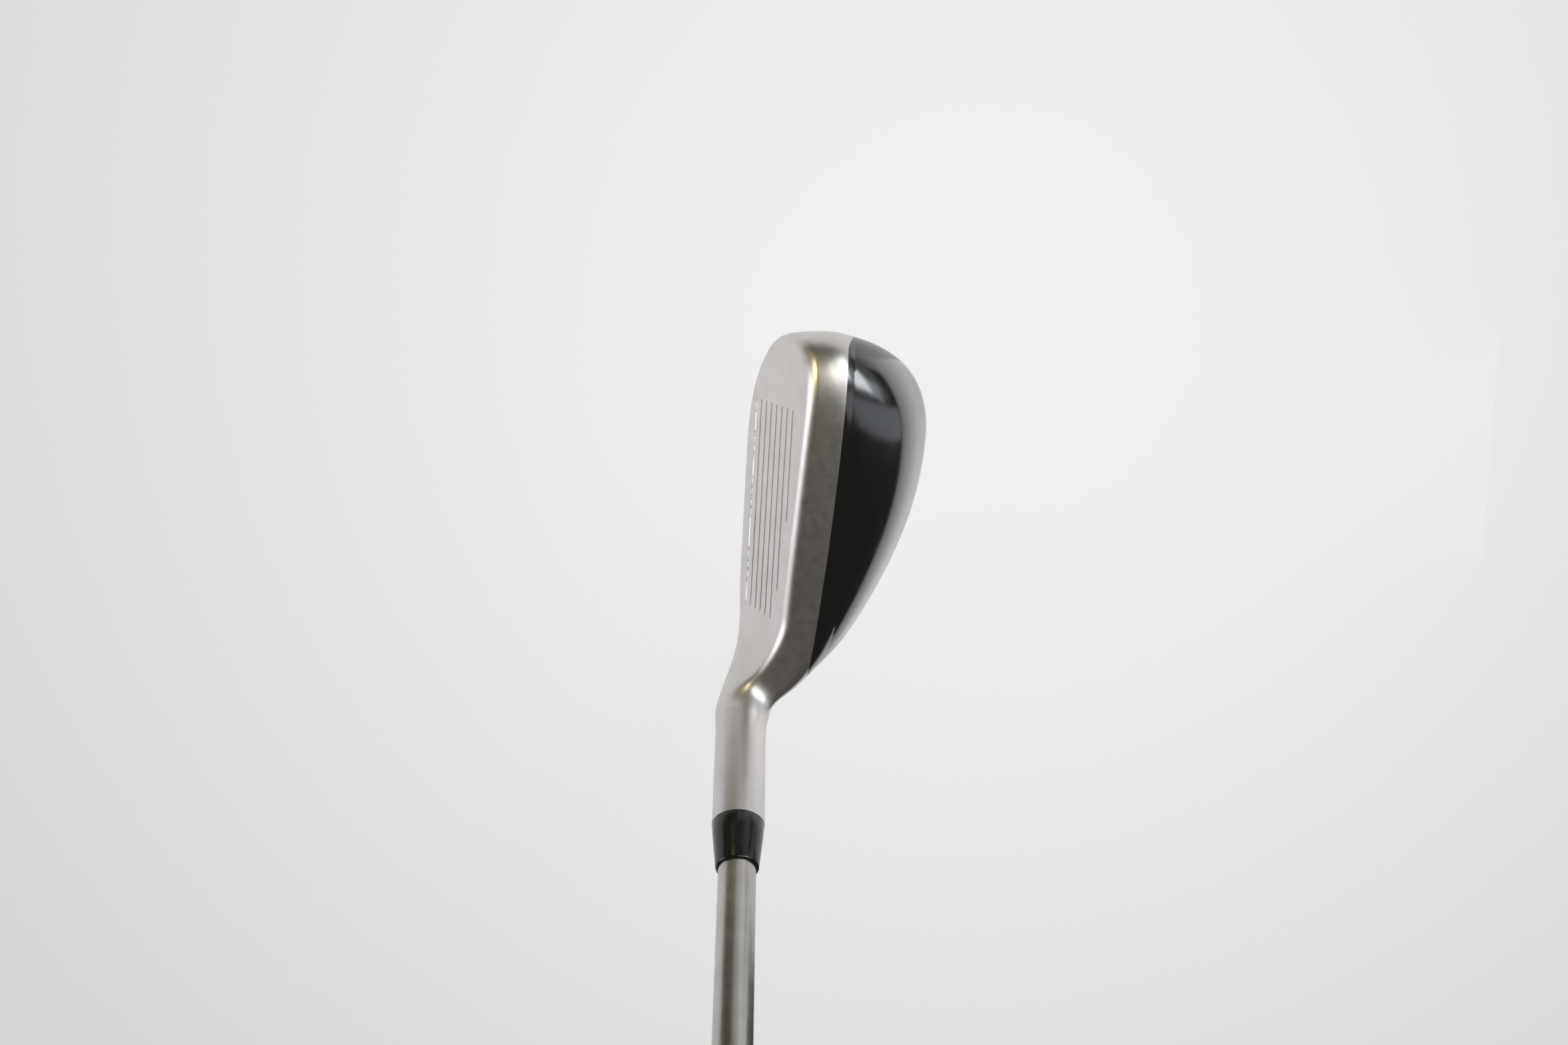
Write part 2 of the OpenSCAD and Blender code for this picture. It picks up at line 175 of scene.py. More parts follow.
def belly(x):
    return BELLY_Z + 7 * np.clip((30 - x) / 40, 0, 1) ** 2


def dome_height(x, back):
    return np.maximum(topline_z(x) - belly(x) - TOP_SAG * np.minimum(back, half_depth(x)) ** 2, 4)


def dome_power(x, y):
    return TOE_POWER + (SKIRT_POWER - TOE_POWER) * y * y / (x * x + y * y + 1e-6)


def face_field(p):
    x, y, z = p.T
    slope = 1.6 * np.maximum(10 - x, 0) / 36 * swing_share(z)
    ahead = y - LEAD_Y - swing(x) * swing_share(z)
    return (ahead * cos(LOFT) + z * sin(LOFT)) / np.sqrt(1 + slope**2)


def dome_field(p, depth):
    x, y, z = p.T
    length_x = TOE_REACH - TOE_TAPER * np.clip(1 - depth / TAPER_DEPTH, 0, 1) ** 2
    half_y, mid_z = half_depth(x), belly(x)
    above = z > mid_z
    back = behind_crest(x, y)
    lean = WALL_LEAN * soft_max(z - mid_z, 0, 3) * np.clip(back / 8, 0, 1)
    half_z = np.where(above, dome_height(x, back), mid_z)
    u, v, w = np.maximum(x - WIDEST_X, 0) / length_x, (back + lean) / half_y, np.abs(z - mid_z) / half_z
    q = power_sum(np.hypot(u, v), w, np.where(above, dome_power(u, v), SOLE_POWER))
    steep = np.sqrt((u / length_x) ** 2 + (v / half_y) ** 2 + (w / half_z) ** 2 + 1e-9)
    return (q - 1) * np.clip(q / steep, 2, 60)


def toe_field(p):
    centre_x, centre_z, half_x, half_z = TOE_OVAL
    u = np.maximum(p[:, 0] - centre_x, 0) / half_x
    w = np.maximum(centre_z - p[:, 2], 0) / half_z
    q = np.hypot(u, w)
    steep = np.sqrt((u / half_x) ** 2 + (w / half_z) ** 2 + 1e-9)
    return (q - 1) * np.clip(q / steep, half_z, 60)


def sole_field(p):
    front = np.clip((p[:, 1] + 10) / 12, 0, 2)
    heel = np.maximum(20 - p[:, 0], 0)
    return (2 * front**2 + heel**2 / 92 - p[:, 2]) / np.sqrt(1 + (heel / 46) ** 2 + (front / 3) ** 2)


def blade_field(p):
    face = face_field(p)
    shell = soft_max(dome_field(p, -face), toe_field(p), 8)
    soled = soft_max(shell, sole_field(p), 4)
    ended = soft_max(soled, -(sin(LIE) * p[:, 0] + cos(LIE) * p[:, 2]) - 1, 12)
    return round_max(ended, face, EDGE_ROUND)


# The hosel bends back into the heel along three tapered pieces: (centre, radius)
BEND = [
    (110 * AXIS, HOSEL_R),
    (40 * AXIS, HOSEL_R),
    (np.array([-14.2, -1.6, 25.0]), 6.7),
    (np.array([-8.0, -4.6, 15.0]), 6.75),
    (np.array([-1.0, -7.5, 9.5]), 7.2),
]


def limb_field(p, a, b):
    run = b[0] - a[0]
    t = np.clip((p - a[0]) @ run / (run @ run), 0, 1)
    return np.linalg.norm(p - a[0] - t[:, None] * run, axis=1) - (a[1] + (b[1] - a[1]) * t)


def head_field(p):
    hosel = np.min([limb_field(p, a, b) for a, b in zip(BEND, BEND[1:])], axis=0)
    return -soft_max(-blade_field(p), -hosel, JOIN_BLEND)


def gradient(p, step=0.03):
    moved = np.eye(3) * step
    return np.stack([(head_field(p + m) - head_field(p - m)) / (2 * step) for m in moved], axis=1)


def normals_at(p):
    g = gradient(p)
    return g / np.linalg.norm(g, axis=1, keepdims=True)


def settle(p):
    """Points moved onto the surface along the field's slope."""
    for _ in range(3):
        g = gradient(p)
        p = p - (head_field(p) / (g * g).sum(1))[:, None] * g
    return p


# ---- Sections across the head. They start square to the hosel, fan round a pivot above the heel until they
# are upright, and step to the toe ----
PIVOT = (-6.0, 45.0)  # x and z
TOE_X = 86.0  # the sections' centres are taken here for the toe's end


def toward_heel(x):
    return np.clip((30 - x) / 36, 0, 1) ** 2


def mid_y(x):
    return -16 + 9 * toward_heel(x)


def mid_z(x):
    return 16 + 10 * (np.maximum(x - 50, 0) / 36) ** 2 + 4 * toward_heel(x)


def fan_section(t):
    """(x that sets its ray angles, centre, up, share of the even spacing of a round hosel)"""
    turn = (1 - t) * LIE
    axis_r = PIVOT[0] * sin(LIE) + PIVOT[1] * cos(LIE)
    reach = axis_r + t * (PIVOT[1] - mid_z(PIVOT[0]) - axis_r)
    down = np.array([-sin(turn), 0, -cos(turn)])
    centre = np.array([PIVOT[0], t * mid_y(PIVOT[0]), PIVOT[1]]) + reach * down
    return PIVOT[0], centre, -down, 1 - t


def toe_tip():
    """The toe's end, straight ahead of the last sections' centres."""
    low, high = 70.0, 100.0
    for _ in range(30):
        mid = (low + high) / 2
        inside = head_field(np.array([[mid, mid_y(TOE_X), mid_z(TOE_X)]]))[0] < 0
        low, high = (mid, high) if inside else (low, mid)
    return low


def stations(tip):
    """Places along the blade, closer together towards the toe and where a score line ends."""
    plain = list(np.arange(PIVOT[0] + 0.8, WIDEST_X, 0.9))
    toe = [WIDEST_X + (tip - WIDEST_X) * sin(a) for a in np.linspace(0, pi / 2, 46)[:-1]]
    ends = [e + d for e in sorted(set(LINE_HEELS + [LINE_TOE])) for d in np.linspace(-0.15, 0.65, 9)]
    ends = [e - 0.5 if e > 60 else e for e in ends]
    kept = []
    for x in sorted(plain + toe + ends):
        if not kept or x - kept[-1] > 0.07:
            kept.append(x)
    return kept


def all_sections():
    top = fan_section(0.0)
    rim = np.linspace(HOSEL_TOP, HOSEL_TOP - 0.25, 4)
    below_rim = np.linspace(HOSEL_TOP - 2, top[1] @ AXIS + 1, 12)
    hosel = [(PIVOT[0], s * AXIS, top[2], 1.0) for s in np.append(rim, below_rim)]
    fan = [fan_section(t) for t in np.linspace(0, 1, 44)]
    tip = toe_tip()
    blade = [(x, np.array([x, mid_y(x), mid_z(x)]), np.array([0, 0, 1.0]), 0.0) for x in stations(tip)]
    return hosel + fan + blade, np.array([tip, mid_y(TOE_X), mid_z(TOE_X)])


# ---- Rays round each section leave its centre towards the head's edges and seams ----
def underside(x):
    centre_x, centre_z, half_x, half_z = TOE_OVAL
    return centre_z - 3 - (half_z - 3) * np.sqrt(1 - np.clip((x - centre_x) / half_x, 0, 0.98) ** 2)


def seam_y(x):
    return -17.3 - 0.105 * (x + 8) + 0.00055 * (x + 8) ** 2


def crown_top(x, y):
    back = behind_crest(x, y)
    v, u = back / half_depth(x), past_widest(x)
    power = dome_power(u, v)
    fall = np.maximum(1 - np.hypot(u, v) ** power, 0.001) ** (1 / power)
    return belly(x) + dome_height(x, back) * fall


def rear_seam_z(x):
    return belly(x) - 1.2 + 2.9 / (1 + ((x - 27) / 9) ** 2) + 7 * (np.maximum(12 - x, 0) / 19) ** 3


def rear_seam_y(x):
    return crest(x) - half_depth(x) * np.sqrt(np.maximum(1 - past_widest(x) ** 2, 0.01))


# Distances of the rows of points from the middle of a score line, in mm
GROOVE_EDGE = [0.33, 0.34, 0.355, 0.385, 0.4, 0.41]
GROOVE_ROWS = np.array([-v for v in reversed(GROOVE_EDGE)] + [0.0] + GROOVE_EDGE)


def face_rows():
    """Distances up the face of the rows of points: close together across each score line."""
    rows = [LINE_LOW - 2.2, LINE_LOW - 1.2]
    for n in range(len(LINE_HEELS)):
        centre = LINE_LOW + n * LINE_PITCH
        rows += list(centre + GROOVE_ROWS) + [centre + LINE_PITCH * s for s in (0.33, 0.5, 0.67)]
    return np.array(rows[:-3])


def corner_points(x):
    """(y, z) of each corner, and the number of cells from it to the next."""
    low, high, back = underside(x) + 1.2, topline_z(x), rear_seam_y(x)
    first, last = low + 1.7, high - 3.0
    rows = face_rows() * cos(LOFT)
    count = len(rows)
    k = np.arange(count)
    squeezed = np.maximum(np.minimum(rows, last - 0.03 * (count - k)), first + 0.03 * (k + 1))
    face = [(face_y(x, z), z, 1) for z in [first, *squeezed]] + [(face_y(x, last), last, 4)]
    return (
        [(face_y(x, low + 1), low - 0.6, 5)]
        + face
        + [
            (face_y(x, high - 1.5), high - 1.5, 10),
            (face_y(x, high) - 1.6, high - 0.1, 12),
            (seam_y(x), crown_top(x, seam_y(x)), 46),
            (back, rear_seam_z(x), 16),
            (back + 8, 3.5, 26),
            (-6.0, underside(x), 10),
        ]
    )


def ray_angles(x):
    x = np.minimum(np.maximum(x, PIVOT[0]), 80.0)
    corners = corner_points(x)
    angles = np.array([np.arctan2(z - mid_z(x), y - mid_y(x)) for y, z, _ in corners])
    angles = np.unwrap(angles)
    angles = np.append(angles, angles[0] + 2 * pi)
    return np.concatenate(
        [np.linspace(a, b, n, endpoint=False) for a, b, (_, _, n) in zip(angles, angles[1:], corners)]
    )


def face_span():
    """First and last ray of the face window."""
    cells = [n for _, _, n in corner_points(30.0)]
    return cells[0], cells[0] + len(face_rows()) + 1


def head_grid():
    """(points of every ray of every section, toe's end point, x and even share of each section)"""
    sections, tip = all_sections()
    points = []
    for x, centre, up, even in sections:
        real = ray_angles(x)
        round_hosel = real[0] + 2 * pi * np.arange(len(real)) / len(real)
        a = real * (1 - even) + round_hosel * even
        rays = np.stack([0 * a, np.cos(a), 0 * a], axis=1) + np.sin(a)[:, None] * up
        points.append((np.repeat(centre[None], len(a), 0), rays))
    start = np.concatenate([c for c, _ in points])
    ray = np.concatenate([r for _, r in points])
    low, high = np.zeros(len(start)), np.full(len(start), 64.0)
    for _ in range(26):
        mid = (low + high) / 2
        outside = head_field(start + mid[:, None] * ray) > 0
        high, low = np.where(outside, mid, high), np.where(outside, low, mid)
    grid = (start + low[:, None] * ray).reshape(len(sections), -1, 3)
    return grid, tip, [x for x, _, _, _ in sections], [s[3] for s in sections]


# ---- The crown's edge ----
SEAM_CORNER = 3.0
SEAM_HALF = 0.11
SEAM_DEPTH = 0.13
TOE_LIP = 0.85  # the crown stops this far short of the toe's end


def inside_crown(p, toe_end):
    """How far a point is inside the crown's edge, in mm, and negative outside it."""
    x, y, z = p.T
    front = seam_y(x) - y
    lower = z - rear_seam_z(x)
    corner = -round_max(-front, x - toe_end, SEAM_CORNER)
    return np.minimum(corner, lower)


def cut_along(bm, level):
    """Splits the faces that level = 0 crosses."""
    values = level(np.array([v.co[:] for v in bm.verts]))
    bm.verts.index_update()
    crossing = [e for e in bm.edges if (values[e.verts[0].index] > 0) != (values[e.verts[1].index] > 0)]
    fresh = []
    for e in crossing:
        a, b = e.verts
        share = values[a.index] / (values[a.index] - values[b.index])
        fresh.append(bmesh.utils.edge_split(e, a, share)[1])
    marked = set(fresh)
    # A dict keeps its order, where the order of a set of faces changes from run to run
    for f in dict.fromkeys(f for v in fresh for f in v.link_faces):
        ends = [v for v in f.verts if v in marked]
        if len(ends) == 2:
            bmesh.utils.face_split(f, ends[0], ends[1])


# ---- Meshes ----
def new_object(name, points, faces, material, normals=None, sharp=None):
    """A mesh object from points at address in mm, with smooth shading, on the root body."""
    mesh = bpy.data.meshes.new(name)
    mesh.from_pydata(to_row(points).tolist(), [], faces)
    mesh.validate()
    mesh.polygons.foreach_set("use_smooth", [True] * len(mesh.polygons))
    if normals is not None:
        mesh.normals_split_custom_set_from_vertices(normals.tolist())
    if sharp is not None:
        mesh.set_sharp_from_angle(angle=radians(sharp))
    mesh.materials.append(material)
    obj = bpy.data.objects.new(name, mesh)
    bpy.context.scene.collection.objects.link(obj)
    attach(obj, "root")
    return obj


def compact(points, faces):
    """Only the points that the faces use."""
    used = sorted({k for f in faces for k in f})
    place = {k: n for n, k in enumerate(used)}
    return points[used], [[place[k] for k in f] for f in faces]


def cell(i, n, j, ring):
    """The face between rings i and n of points, at place j."""
    k = (j + 1) % ring
    return [i * ring + j, i * ring + k, n * ring + k, n * ring + j]


def grid_faces(rows, ring, keep):
    return [cell(i, i + 1, j, ring) for i in range(rows - 1) for j in range(ring) if keep(i, j)]


def closed_faces(rings, ring):
    """Faces between rings of points, with the last ring joined to the first."""
    return [cell(i, (i + 1) % rings, j, ring) for i in range(rings) for j in range(ring)]


def seam_groove(points, normals, toe_end):
    """The shallow groove between the crown and the body."""
    near = 1 - np.abs(inside_crown(points, toe_end)) / SEAM_HALF
    return points - SEAM_DEPTH * np.clip(near, 0, 1)[:, None] * normals


def groove_depth(u, v):
    """Depth of the score lines at a place on the face."""
    depth = np.zeros_like(u)
    for n, heel in enumerate(LINE_HEELS):
        along = np.clip(u, heel + LINE_W / 2, LINE_TOE - LINE_W / 2)
        from_middle = np.hypot(u - along, v - LINE_LOW - n * LINE_PITCH)
        side = np.clip((LINE_W / 2 - from_middle) / 0.06, 0, 1)
        depth = np.maximum(depth, LINE_D * side * side * (3 - 2 * side))
    return depth


def face_places(points):
    return points[:, 0], points[:, 2] / cos(LOFT)


def engrave(points, normals):
    """Face points lowered into the score lines, and their normals."""
    u, v = face_places(points)
    step = 0.002
    slope_u = (groove_depth(u + step, v) - groove_depth(u - step, v)) / (2 * step)
    slope_v = (groove_depth(u, v + step) - groove_depth(u, v - step)) / (2 * step)
    up_face = np.array([0, -sin(LOFT), cos(LOFT)])
    tilted = normals + slope_u[:, None] * np.array([1.0, 0, 0]) + slope_v[:, None] * up_face
    tilted /= np.linalg.norm(tilted, axis=1, keepdims=True)
    return points - groove_depth(u, v)[:, None] * normals, tilted


FACE_FROM, FACE_TO = 4.0, 76.0


def build_head(steel, face_steel, lacquer):
    grid, tip, xs, even = head_grid()
    rows, ring, _ = grid.shape
    toe_end = tip[0] - TOE_LIP
    low, high = face_span()
    on_blade = [s == 0 for s in even]
    window = [b and FACE_FROM < x < FACE_TO for b, x in zip(on_blade, xs)]

    def on_face(i, j):
        return window[i] and window[i + 1] and low <= j < high

    flat = grid.reshape(-1, 3)
    points, faces = compact(flat, grid_faces(rows, ring, on_face))
    lowered, tilted = engrave(points, normals_at(points))
    plate = new_object("face_plate_skin", lowered, faces, face_steel, tilted)
    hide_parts("face_plate")

    shell = np.vstack([flat, tip])
    faces = grid_faces(rows, ring, lambda i, j: not on_face(i, j))
    first = (rows - 1) * ring
    faces += [[first + j, first + (j + 1) % ring, rows * ring] for j in range(ring)]
    split_crown(*compact(shell, faces), toe_end, steel, lacquer)


def split_crown(points, faces, toe_end, steel, lacquer):
    """The rest of the head as two pieces, body and crown, with the seam groove between them."""
    mesh = bpy.data.meshes.new("shell")
    mesh.from_pydata(points.tolist(), [], faces)
    bm = bmesh.new()
    bm.from_mesh(mesh)
    bpy.data.meshes.remove(mesh)
    for offset in (-SEAM_HALF, 0, SEAM_HALF):
        cut_along(bm, lambda p: inside_crown(p, toe_end) + offset)
    bm.verts.index_update()
    everywhere = settle(np.array([v.co[:] for v in bm.verts]))
    level = inside_crown(everywhere, toe_end)
    normals = normals_at(everywhere)
    grooved = seam_groove(everywhere, normals, toe_end)
    loops = [[v.index for v in f.verts] for f in bm.faces]
    crown_side = [level[f].mean() > 0 for f in loops]
    bm.free()
    for name, side, material, slot, nodes in (
        ("head_body_skin", False, steel, "head_steel", ["head_body"]),
        ("crown_skin", True, lacquer, "crown_gloss", ["crown"]),
    ):
        part = [f for f, c in zip(loops, crown_side) if c == side]
        used = sorted({k for f in part for k in f})
        pts, fcs = compact(grooved, part)
        obj = new_object(name, pts, fcs, material, normals[used])
        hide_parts(*nodes)


# ---- Paint left in the lowest score line: wide where it is whole, ragged and thin where it is worn ----
WHOLE_PAINT = [(7.6, 12.6), (23.6, 32.4), (43.8, 48.4), (56.6, 61.8)]
PAINT_DEPTH = 0.05


def paint_width(u):
    worn = 0.26 + 0.16 * sin(2.1 * u) + 0.12 * sin(5.3 * u + 1) + 0.1 * sin(11.7 * u)
    whole = max(min((u - a) / 0.6, (b - u) / 0.6, 1) for a, b in WHOLE_PAINT)
    return max(worn, 0) * (1 - max(whole, 0)) + 0.72 * max(whole, 0)


def build_paint(material):
    points, faces = [], []
    end = -1
    normal = np.array([0, cos(LOFT), sin(LOFT)])
    for u in np.arange(LINE_HEELS[0] + 0.35, LINE_TOE - 0.35, 0.2):
        width = paint_width(u)
        if width < 0.1:
            end = -1
            continue
        for side in (-0.5, 0.5):
            v = LINE_LOW + side * width
            for depth in (PAINT_DEPTH, LINE_D):
                points.append(np.array([u, LEAD_Y - v * sin(LOFT), v * cos(LOFT)]) - depth * normal)
        k = len(points) - 4
        if end >= 0:
            ring = [0, 2, 3, 1]
            faces += [[end + a, k + a, k + b, end + b] for a, b in zip(ring, ring[1:] + ring[:1])]
        end = k
    obj = new_object("line_paint_skin", np.array(points), faces, material, sharp=30)
    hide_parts("score_line_paint")


# ---- Round pieces on the shaft axis ----
SIDE = np.array([AXIS[2], 0, -AXIS[0]])
FRONT = np.array([0, 1.0, 0])


def spokes(segments):
    """Angles round the shaft axis, and a unit vector out from it at each."""
    a = 2 * pi * np.arange(segments) / segments
    return a, np.cos(a)[:, None] * SIDE + np.sin(a)[:, None] * FRONT


def turned(name, profile, segments, material, nodes, sharp=28):
    """A closed solid of revolution from a closed profile of (radius, distance up the shaft)."""
    _, out = spokes(segments)
    points = np.concatenate([s * AXIS + r * out for r, s in profile])
    obj = new_object(name, points, closed_faces(len(profile), segments), material, sharp=sharp)
    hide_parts(*nodes)


def arc(r, s, size, start, end, steps=6):
    """Points of a round corner of that size, from angle start to end, in degrees."""
    return [(r + size * cos(radians(a)), s + size * sin(radians(a))) for a in np.linspace(start, end, steps)]


def build_ferrule(material):
    nose = 0.8
    low, high = HOSEL_TOP, HOSEL_TOP + FERRULE_H
    narrowing, straight = FERRULE_R - HOSEL_R, FERRULE_H - nose - 0.4
    profile = (
        [(TIP_R, low + 0.02), (HOSEL_R - 0.22, low + 0.02)]
        + arc(HOSEL_R - 0.2, low + 0.2, 0.18, -80, 0, 4)
        + [(HOSEL_R + narrowing * t, low + 0.4 + straight * t) for t in (0.25, 0.5, 0.75)]
        + arc(FERRULE_R - nose, high - nose, nose, 5, 90, 8)
        + [(TIP_R, high)]
    )
    turned("ferrule_skin", profile, 128, material, ["ferrule"])


def shaft_outline():
    """The stepped outside of the shaft, from tip to butt."""
    foot, butt = HOSEL_TOP - BORE_DEPTH, CLUB_LENGTH - CAP_H
    low, first = foot + PLUG_HEAD, foot + TIP_LEN
    rise = (BUTT_R - TIP_R) / STEP_COUNT
    line = [(TIP_R, s) for s in np.linspace(low, first, 8)[:-1]]
    for n in range(STEP_COUNT):
        s, r = first + n * STEP_PITCH, TIP_R + n * rise
        line += [(r, s - 0.2), (r, s), (r + rise * 0.3, s + 0.15), (r + rise * 0.8, s + 0.45)]
        line += [(r + rise, s + 0.65), (r + rise, s + 0.85), (r + rise, s + STEP_PITCH / 2)]
    return line + [(BUTT_R, s) for s in np.linspace(first + STEP_COUNT * STEP_PITCH, butt, 8)]


def build_shaft(material):
    outside = shaft_outline()
    bore = [(r - TUBE_WALL, s) for r, s in reversed(outside)]
    turned("shaft_skin", outside + bore, 96, material, ["shaft"])


def grip_radius(h):
    return MOUTH_R + (HEEL_R - MOUTH_R) * (h / GRIP_LEN) ** 1.25


TREAD = [(20.0, 120.0), (142.0, 244.0)]
TREAD_AROUND = 18
TREAD_PITCH = 8.0
TREAD_DEPTH = 0.32
RINGS = (8, 11, 14, 126, 131, 136, 249, 252, 255)
RING_DEPTH = 0.3


def tread_depth(h, a):
    """Small lozenges sunk into the rubber in two bands, and rings between and beyond the bands."""
    band = max(np.clip(min(h - low, high - h) / 1.5, 0, 1) for low, high in TREAD)
    turn, slide = TREAD_AROUND * a, 2 * pi * h / TREAD_PITCH
    wave = np.cos(turn + slide) * np.cos(turn - slide)
    lozenge = np.clip((wave - 0.15) / 0.35, 0, 1)
    ring = max(np.clip(1 - abs(h - c) / 0.8, 0, 1) for c in RINGS)
    return TREAD_DEPTH * band * lozenge * lozenge * (3 - 2 * lozenge) + RING_DEPTH * ring


def build_grip(material):
    segments, low = 216, CLUB_LENGTH - CAP_H - GRIP_LEN
    a, out = spokes(segments)
    heights = np.append(np.arange(0.8, GRIP_LEN, 0.72), GRIP_LEN)
    rings = [(low + h) * AXIS + (grip_radius(h) - tread_depth(h, a))[:, None] * out for h in heights]
    tape_r, tape_low = BUTT_R + 0.25, 8.0
    inside = [(tape_r, GRIP_LEN), (tape_r, tape_low), (BUTT_R, tape_low), (BUTT_R, 0.0)]
    mouth = [(MOUTH_R - 0.7, 0.0), (MOUTH_R - 0.2, 0.25)]
    rings += [(low + h) * AXIS + r * out for r, h in inside + mouth]
    faces = closed_faces(len(rings), segments)
    obj = new_object("grip_skin", np.concatenate(rings), faces, material, sharp=40)
    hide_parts("grip")


def build_cap(material):
    low, high, edge = CLUB_LENGTH - CAP_H, CLUB_LENGTH, 1.6
    profile = (
        [(VENT_R, low), (HEEL_R, low), (CAP_R - 0.3, low + 0.9)]
        + arc(CAP_R - 0.5, low + 1.3, 0.5, -30, 0, 3)
        + arc(CAP_R - edge, high - edge, edge, 0, 90, 8)
        + [(9.3, high), (9.0, high - 0.35), (8.2, high - 0.35), (7.9, high)]
        + [(VENT_R + 0.4, high), (VENT_R, high - 0.4)]
    )
    turned("grip_cap_skin", profile, 128, material, ["grip_cap"])


# ---- Materials ----
def material(name, color, roughness, metallic=0.0, **sockets):
    """A Principled material, its node tree and its shader."""
    mat = bpy.data.materials.new(name)
    mat.use_nodes = True
    tree = mat.node_tree
    shader = tree.nodes["Principled BSDF"]
    shader.inputs["Base Color"].default_value = (*color, 1)
    shader.inputs["Roughness"].default_value = roughness
    shader.inputs["Metallic"].default_value = metallic
    for socket, value in sockets.items():
        shader.inputs[socket.replace("_", " ")].default_value = value
    return mat, tree, shader


def noise(tree, scale, detail):
    """Noise of that many features a metre, in the row frame."""
    place = tree.nodes.new("ShaderNodeTexCoord")
    texture = tree.nodes.new("ShaderNodeTexNoise")
    texture.inputs["Scale"].default_value = scale
    texture.inputs["Detail"].default_value = detail
    tree.links.new(place.outputs["Object"], texture.inputs["Vector"])
    return texture.outputs["Fac"]


def spread(tree, value, low, high):
    """value from 0.3..0.7 mapped to low..high."""
    node = tree.nodes.new("ShaderNodeMapRange")
    node.inputs["From Min"].default_value = 0.3
    node.inputs["From Max"].default_value = 0.7
    node.inputs["To Min"].default_value = low
    node.inputs["To Max"].default_value = high
    tree.links.new(value, node.inputs["Value"])
    return node.outputs["Result"]


def tint(tree, value, dark, light):
    """A colour between dark and light."""
    node = tree.nodes.new("ShaderNodeMix")
    node.data_type = "RGBA"
    node.inputs["A"].default_value = (*dark, 1)
    node.inputs["B"].default_value = (*light, 1)
    tree.links.new(spread(tree, value, 0, 1), node.inputs["Factor"])
    return node.outputs["Result"]


def bump(tree, shader, height, depth_mm):
    node = tree.nodes.new("ShaderNodeBump")
    node.inputs["Strength"].default_value = 1.0
    node.inputs["Distance"].default_value = depth_mm * MM
    tree.links.new(height, node.inputs["Height"])
    tree.links.new(node.outputs["Normal"], shader.inputs["Normal"])


def satin_steel(name, dark, light, smooth, rough, grain=2600.0, depth=0.004):
    """Bead-blasted steel: fine grain, and slow changes of tone and roughness from handling."""
    mat, tree, shader = material(name, light, smooth, 1.0)
    tree.links.new(tint(tree, noise(tree, 130, 5), dark, light), shader.inputs["Base Color"])
    tree.links.new(spread(tree, noise(tree, 420, 4), smooth, rough), shader.inputs["Roughness"])
    bump(tree, shader, noise(tree, grain, 2), depth)
    return mat


def gloss_black():
    """Black lacquer with a faint orange peel and a trace of haze."""
    mat, tree, shader = material("gloss_black", (0.003, 0.006, 0.0065), 0.15, 0.0, IOR=2.0)
    color = tint(tree, noise(tree, 60, 3), (0.002, 0.0045, 0.005), (0.004, 0.0075, 0.008))
    tree.links.new(color, shader.inputs["Base Color"])
    tree.links.new(spread(tree, noise(tree, 220, 4), 0.16, 0.22), shader.inputs["Roughness"])
    bump(tree, shader, noise(tree, 500, 2), 0.004)
    return mat


def plastic(name, dark, light, smooth, rough, grain, depth):
    mat, tree, shader = material(name, light, smooth)
    tree.links.new(tint(tree, noise(tree, 200, 4), dark, light), shader.inputs["Base Color"])
    tree.links.new(spread(tree, noise(tree, 600, 4), smooth, rough), shader.inputs["Roughness"])
    bump(tree, shader, noise(tree, grain, 3), depth)
    return mat


def line_paint():
    """White paint that glows a little, a painted brightness that keeps it as bright as the steel round it,
    which mirrors the pale floor.
    """
    mat = plastic("line_paint", (0.8, 0.8, 0.78), (0.95, 0.95, 0.94), 0.45, 0.65, 3000, 0.02)
    shader = mat.node_tree.nodes["Principled BSDF"]
    # Painted light: a faint white glow on the paint, though it is no lamp
    shader.inputs["Emission Color"].default_value = (1, 1, 1, 1)
    shader.inputs["Emission Strength"].default_value = 0.4
    return mat


def brass():
    mat, tree, shader = material("tip_brass", (0.62, 0.46, 0.2), 0.3, 1.0)
    tree.links.new(spread(tree, noise(tree, 900, 4), 0.22, 0.4), shader.inputs["Roughness"])
    bump(tree, shader, noise(tree, 2500, 2), 0.01)
    return mat


def dress(node, mat):
    """Gives a CAD node that stays its material."""
    mesh = frame["nodes"][node].data
    mesh.materials.clear()
    mesh.materials.append(mat)


# ---- Floor, lights and camera ----
HEAD_CENTRE = to_row([45, -18, 30])
UNDER_HEAD = np.array([45, -18, 2.0])
ANY_HEIGHT = 1e6  # a scale so large that height makes no difference to the glow
FLOOR_HALF = 6.0  # metres
SHEET_POINTS = 33
WALL_CELLS = 96
WALL_R = 5.5  # metres
WALL_H = 9.0  # metres


def direction(azimuth, elevation):
    a, e = radians(azimuth), radians(elevation)
    return np.array([cos(e) * cos(a), cos(e) * sin(a), sin(e)])


def soft_box(name, azimuth, elevation, width, height, radiance, color, distance=1.6, roll=0.0, beam=180.0):
    """A rectangular light of that angular width and height, in degrees, seen from the head."""
    toward = direction(azimuth, elevation)
    data = bpy.data.lights.new(name, "AREA")
    data.shape = "RECTANGLE"
    data.size = 2 * distance * tan(radians(width / 2))
    data.size_y = 2 * distance * tan(radians(height / 2))
    data.color = color
    data.spread = radians(beam)
    data.energy = radiance * pi * data.size * data.size_y
    lamp = bpy.data.objects.new(name, data)
    rolled = Matrix.Rotation(radians(roll), 3, "Z").to_quaternion()
    rotation = Vector(toward).to_track_quat("Z", "Y") @ rolled
    place = Matrix.Translation(Vector(HEAD_CENTRE + distance * toward))
    lamp.matrix_world = place @ rotation.to_matrix().to_4x4()
    lamp.visible_camera = False
    bpy.context.scene.collection.objects.link(lamp)


